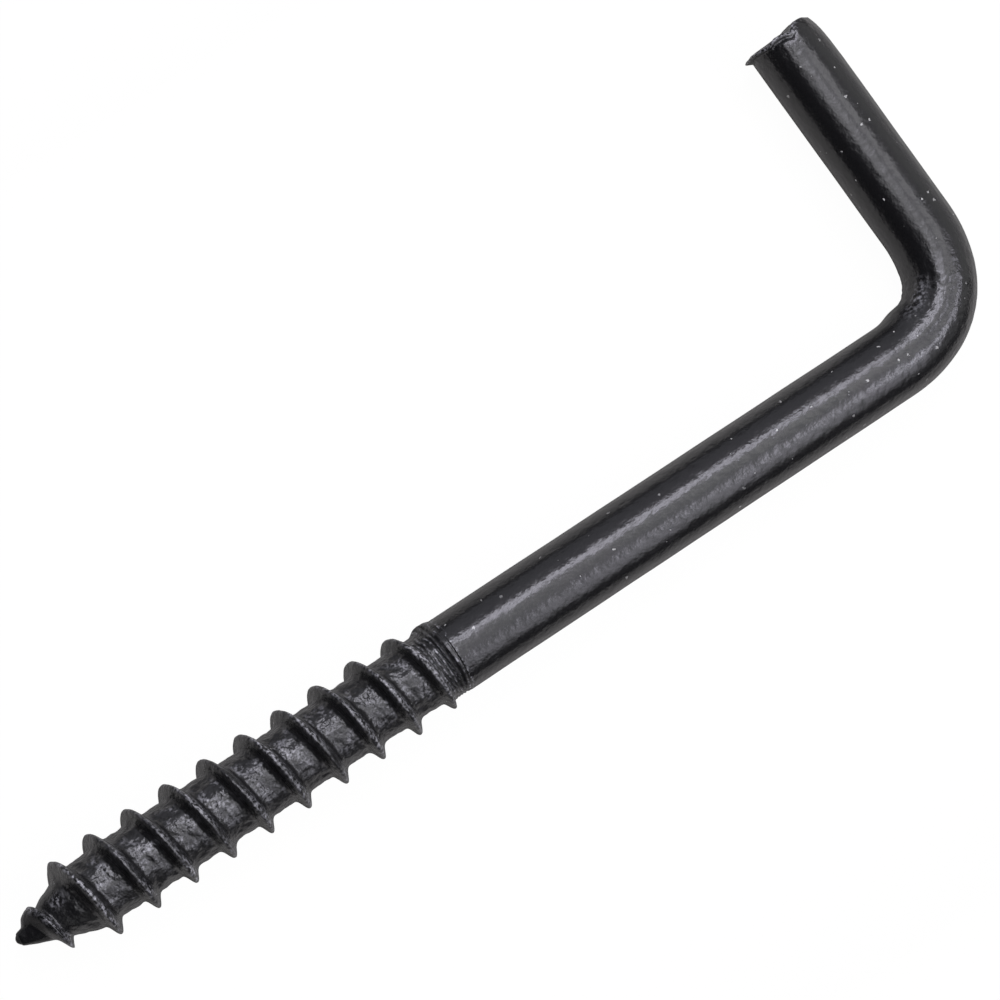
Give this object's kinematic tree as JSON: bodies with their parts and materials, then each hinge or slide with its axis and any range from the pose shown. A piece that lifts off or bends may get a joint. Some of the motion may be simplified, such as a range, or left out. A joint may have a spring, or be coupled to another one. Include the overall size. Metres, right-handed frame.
{
  "type": "screw hook",
  "caption": "Square screw hook of black coated round steel wire: a coarse wood-screw thread, a plain shank and a short arm bent up square to hang things on.",
  "frame": {"origin": "on the wire's axis at the shoulder where the thread meets the plain shank", "axes": "+X along the shank to the bend, +Y the way the arm rises, +Z square to the hook's plane; the thread's tip points along -X"},
  "size_m": [0.0754, 0.0249, 0.0062],
  "materials": {
    "blackened_steel": "satin"
  },
  "bodies": {
    "root": {"screw_hook": "blackened_steel"}
  },
  "joints": []
}
